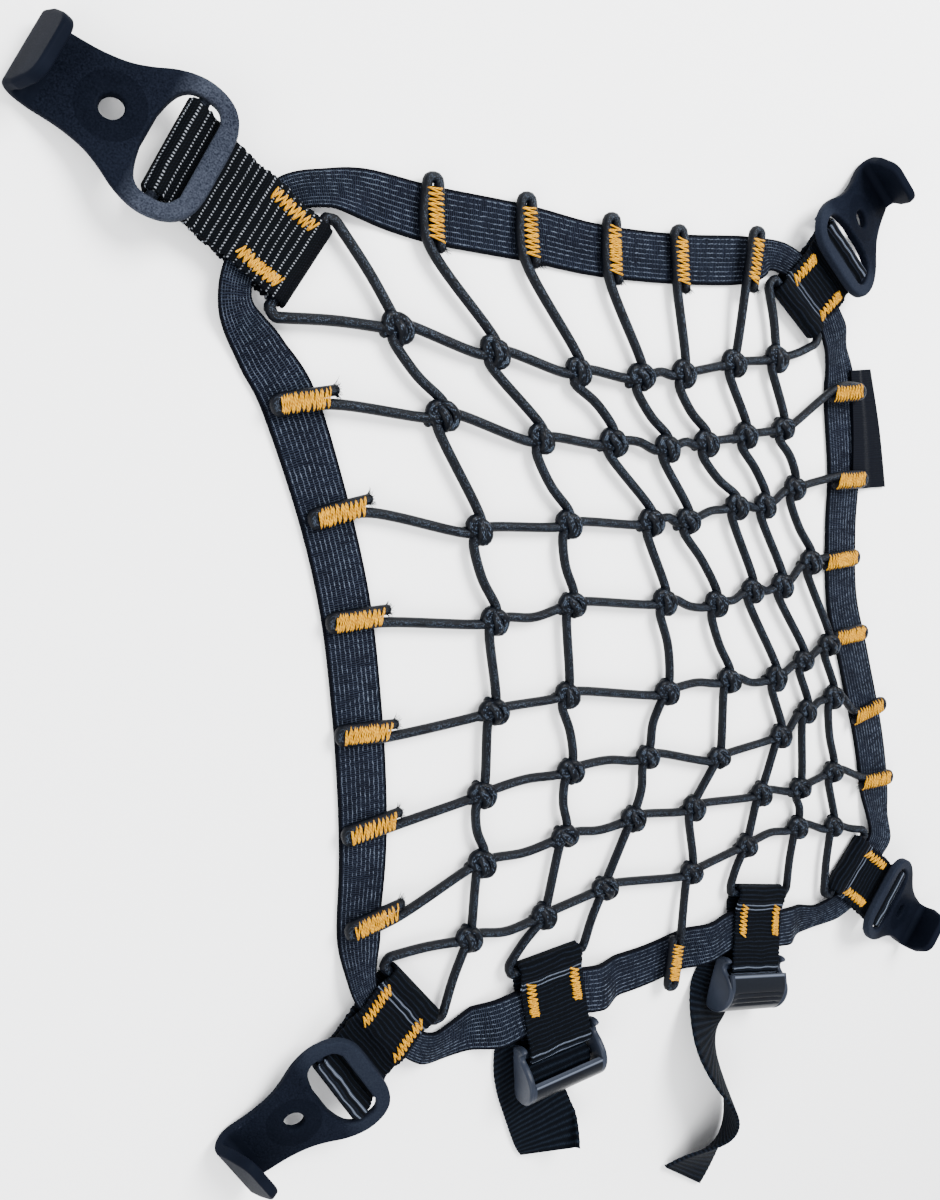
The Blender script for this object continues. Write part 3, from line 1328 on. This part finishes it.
for tab in tabs:
    if "buckle" not in tab["name"]:
        continue
    side = tab["name"].split("_")[-1]
    reach = buckle["halfInside"] + buckle["side"] * buckle["intoSide"]
    mesh = joined("buckle", (
        coverMesh(covers[side]), cheekMesh(-1), cheekMesh(1),
        barMesh(0.0, heldHeight + tab["lift"], reach, buckle["barRadius"]),
        barMesh(buckle["secondAt"], buckle["secondHeight"], reach, buckle["barRadius"])))
    plasticPlaces(mesh)
    mesh.transform(Matrix.Translation(toWorld(*tabPoint(tab, tab["length"], 0.0), 0.0))
                   @ Matrix.Rotation(math.radians(tab["angle"]), 4, "Z"))
    nylon = grainedPlastic(side + "BuckleNylon", dict(buckleLook, rimAt=covers[side]["rim"]))
    piece = addPiece("buckle" + side.capitalize(), mesh, nylon, nodes=("buckle_" + side,),
                     slotName="buckle_" + side)
    evenNormals(piece)
print("buckles ready")

# ---- gold tacks and frayed ends ----

tack = dict(start=7.6, plainInner=0.8, thread=0.24, pitch=1.5, pitchRange=(0.92, 1.08),
            fewest=6, legPoints=6, passes=2, tabPasses=3, sides=6, jitter=0.26, slant=0.9,
            tabWidth=3.5, above=0.9, layerRise=0.7, sink=0.35, sinkPower=6, valley=0.25,
            within=0.6, weaveStart=5)
# a sewn end's tack: width, distance back from the loop's tip, and how much earlier it starts
tackSizes = dict(left=(5.2, 1.5, 0.0), right=(5.6, 1.8, 2.2), top=(5.0, 3.4, 0.0))
messy = random.Random(31)
tacks = Strands()


def zigzag(spot, start, stop, width, topOf, passes):
    # spot(u, v, z) places a point along the tack; topOf(u, v) is the surface under the thread
    for layer in range(passes):
        pitch = tack["pitch"] * messy.uniform(*tack["pitchRange"])
        turns = max(tack["fewest"], round(2 * (stop - start) / pitch))
        corners = []
        for k in range(turns + 1):
            way = 0.5 if k % 2 else -0.5
            u = start + (stop - start) * k / turns + messy.uniform(-1, 1) * tack["jitter"]
            u += way * tack["slant"]
            v = way * width + messy.uniform(-1, 1) * tack["jitter"]
            corners.append((u, v))
        line = []
        for (u0, v0), (u1, v1) in zip(corners, corners[1:]):
            for k in range(tack["legPoints"]):
                t = k / tack["legPoints"]
                u, v = u0 + (u1 - u0) * t, v0 + (v1 - v0) * t
                sink = tack["sink"] * (abs(v) / (width / 2)) ** tack["sinkPower"]
                lift = tack["thread"] * (tack["above"] + tack["layerRise"] * layer)
                line.append(spot(u, v, topOf(u, v) + lift - sink))
        tacks.tube(line, tack["thread"], tack["sides"], start=messy.uniform(0, tack["weaveStart"]))


def overStrands(v, z):
    # top of the hairpin's two strands, with a shallow valley between
    radius = cordNet["radius"]
    side = hairpinEnd["step"] / 2
    past = abs(v) - side
    if past <= 0.0:
        return z + radius - tack["valley"] * (1.0 - abs(v) / side)
    return z + math.sqrt(max(0.0, radius * radius - past * past))


for end in sewnEnds:
    z = endHeight(end)
    side = "top"
    if end["cord"].startswith("r"):
        side = "left" if end["end"] == "first" else "right"
    width, back, early = tackSizes[side]
    start = -tack["start"] - max(0.0, end["inner"] - tack["plainInner"]) - early
    stop = web["borderWidth"] / 2 + end["past"] - back
    zigzag(lambda u, v, w: toWorld(*endSpot(end, u, v, w)), start, stop, width,
           lambda u, v: overStrands(v, z), tack["passes"])


def tabTop(tab, s):
    line = tabTops[tab["name"]]
    heights = [p.y for p in line if abs(p.x - s) < tack["within"]]
    return max(heights) + web["thickness"] / 2


for tab in tabs:
    start, stop = tab["tacks"]
    for side in (-1, 1):
        middle = side * tab["off"]
        zigzag(lambda u, v, w: toWorld(*tabPoint(tab, u, middle + v), w), start, stop,
               tack["tabWidth"], lambda u, v: tabTop(tab, u), tack["tabPasses"])
addPiece("goldTacks", tacks.mesh("goldTacks"), threadFinish)
print("tacks:", len(tacks.faces), "faces")

fray = dict(fibres=70, length=(0.9, 2.3), radius=0.13, spread=1.1, points=4, sides=3,
            taper=0.22, inset=0.3, splay=0.7, droop=0.5, rise=(-0.5, 0.8), lowest=0.3)
fibres = Strands()
bristle = random.Random(44)
fibreRadii = [fray["radius"] * (1.0 - fray["taper"] * k) for k in range(fray["points"])]
for end in sewnEnds:
    z = endHeight(end)
    side = -hairpinEnd["step"] / 2
    reach = -web["borderWidth"] / 2 - end["inner"] - hairpinEnd["stub"] + fray["inset"]
    for _ in range(fray["fibres"]):
        out, over = polar(bristle.uniform(0, 360))
        size = cordNet["radius"] * math.sqrt(bristle.random())
        v, w = side + size * out, z + size * over
        long = bristle.uniform(*fray["length"])
        across = size * out * fray["splay"] + bristle.uniform(-fray["spread"], fray["spread"])
        rise = size * over * fray["droop"] + bristle.uniform(*fray["rise"]) * fray["spread"]
        line = []
        for k in range(fray["points"]):
            t = k / (fray["points"] - 1)
            line.append(toWorld(*endSpot(end, reach - long * t, v + across * t * t,
                                         max(fray["lowest"], w + rise * t * t))))
        fibres.tube(line, fibreRadii, fray["sides"], roundEnds=False)
addPiece("frayedCordEnds", fibres.mesh("frayedCordEnds"), cordFinish)
print("frayed ends:", len(fibres.faces), "faces")

# ---- floor, light and camera ----

room = dict(half=1.6, squares=8, drop=0.0003, skyTone=(0.97, 0.98, 1.0, 1.0), skyStrength=1.9)
floorMesh = bpy.data.meshes.new("paleFloor")
bm = bmesh.new()
bmesh.ops.create_grid(bm, x_segments=room["squares"], y_segments=room["squares"], size=room["half"])
bmesh.ops.translate(bm, verts=bm.verts, vec=(0.0, 0.0, -room["drop"]))
bm.to_mesh(floorMesh)
bm.free()
floorMesh.materials.append(paleFloor("paleStudioFloor", floorLook))
floor = newObject("paleFloor", floorMesh)

world = bpy.data.worlds.new("softSky")
bpy.context.scene.world = world
world.use_nodes = True
sky = world.node_tree.nodes["Background"]
sky.inputs["Color"].default_value = room["skyTone"]
sky.inputs["Strength"].default_value = room["skyStrength"]

lights = (
    dict(name="keyLight", at=(0.25, 0.55, 0.75), size=0.5, power=26.0),
    dict(name="fillLight", at=(-0.7, -0.35, 0.6), size=0.8, power=12.0),
)
for lamp in lights:
    data = bpy.data.lights.new(lamp["name"], "AREA")
    data.shape = "DISK"
    data.size = lamp["size"]
    data.energy = lamp["power"]
    light = newObject(lamp["name"], data)
    light.location = lamp["at"]
    light.rotation_euler = (-Vector(lamp["at"])).to_track_quat("-Z", "Y").to_euler()

# The camera stands left of and above the net: axes of the picture in the net's own frame.
view = dict(stand=(-155.0, 37.4, 265.9), right=(0.8660, 0.0696, 0.4951), up=(0.0, 0.9903, -0.1392),
            ahead=(0.5, -0.1205, -0.8576), lens=30.0, sensor=36.0, clip=0.01)
cameraData = bpy.data.cameras.new("photoCamera")
cameraData.lens = view["lens"]
cameraData.sensor_width = view["sensor"]
cameraData.sensor_fit = "AUTO"
cameraData.clip_start = view["clip"]
camera = newObject("photoCamera", cameraData)
turn = Matrix((view["right"], view["up"], -Vector(view["ahead"]))).transposed()
camera.matrix_world = Matrix.Translation(toWorld(*view["stand"])) @ turn.to_4x4()
bpy.context.scene.camera = camera
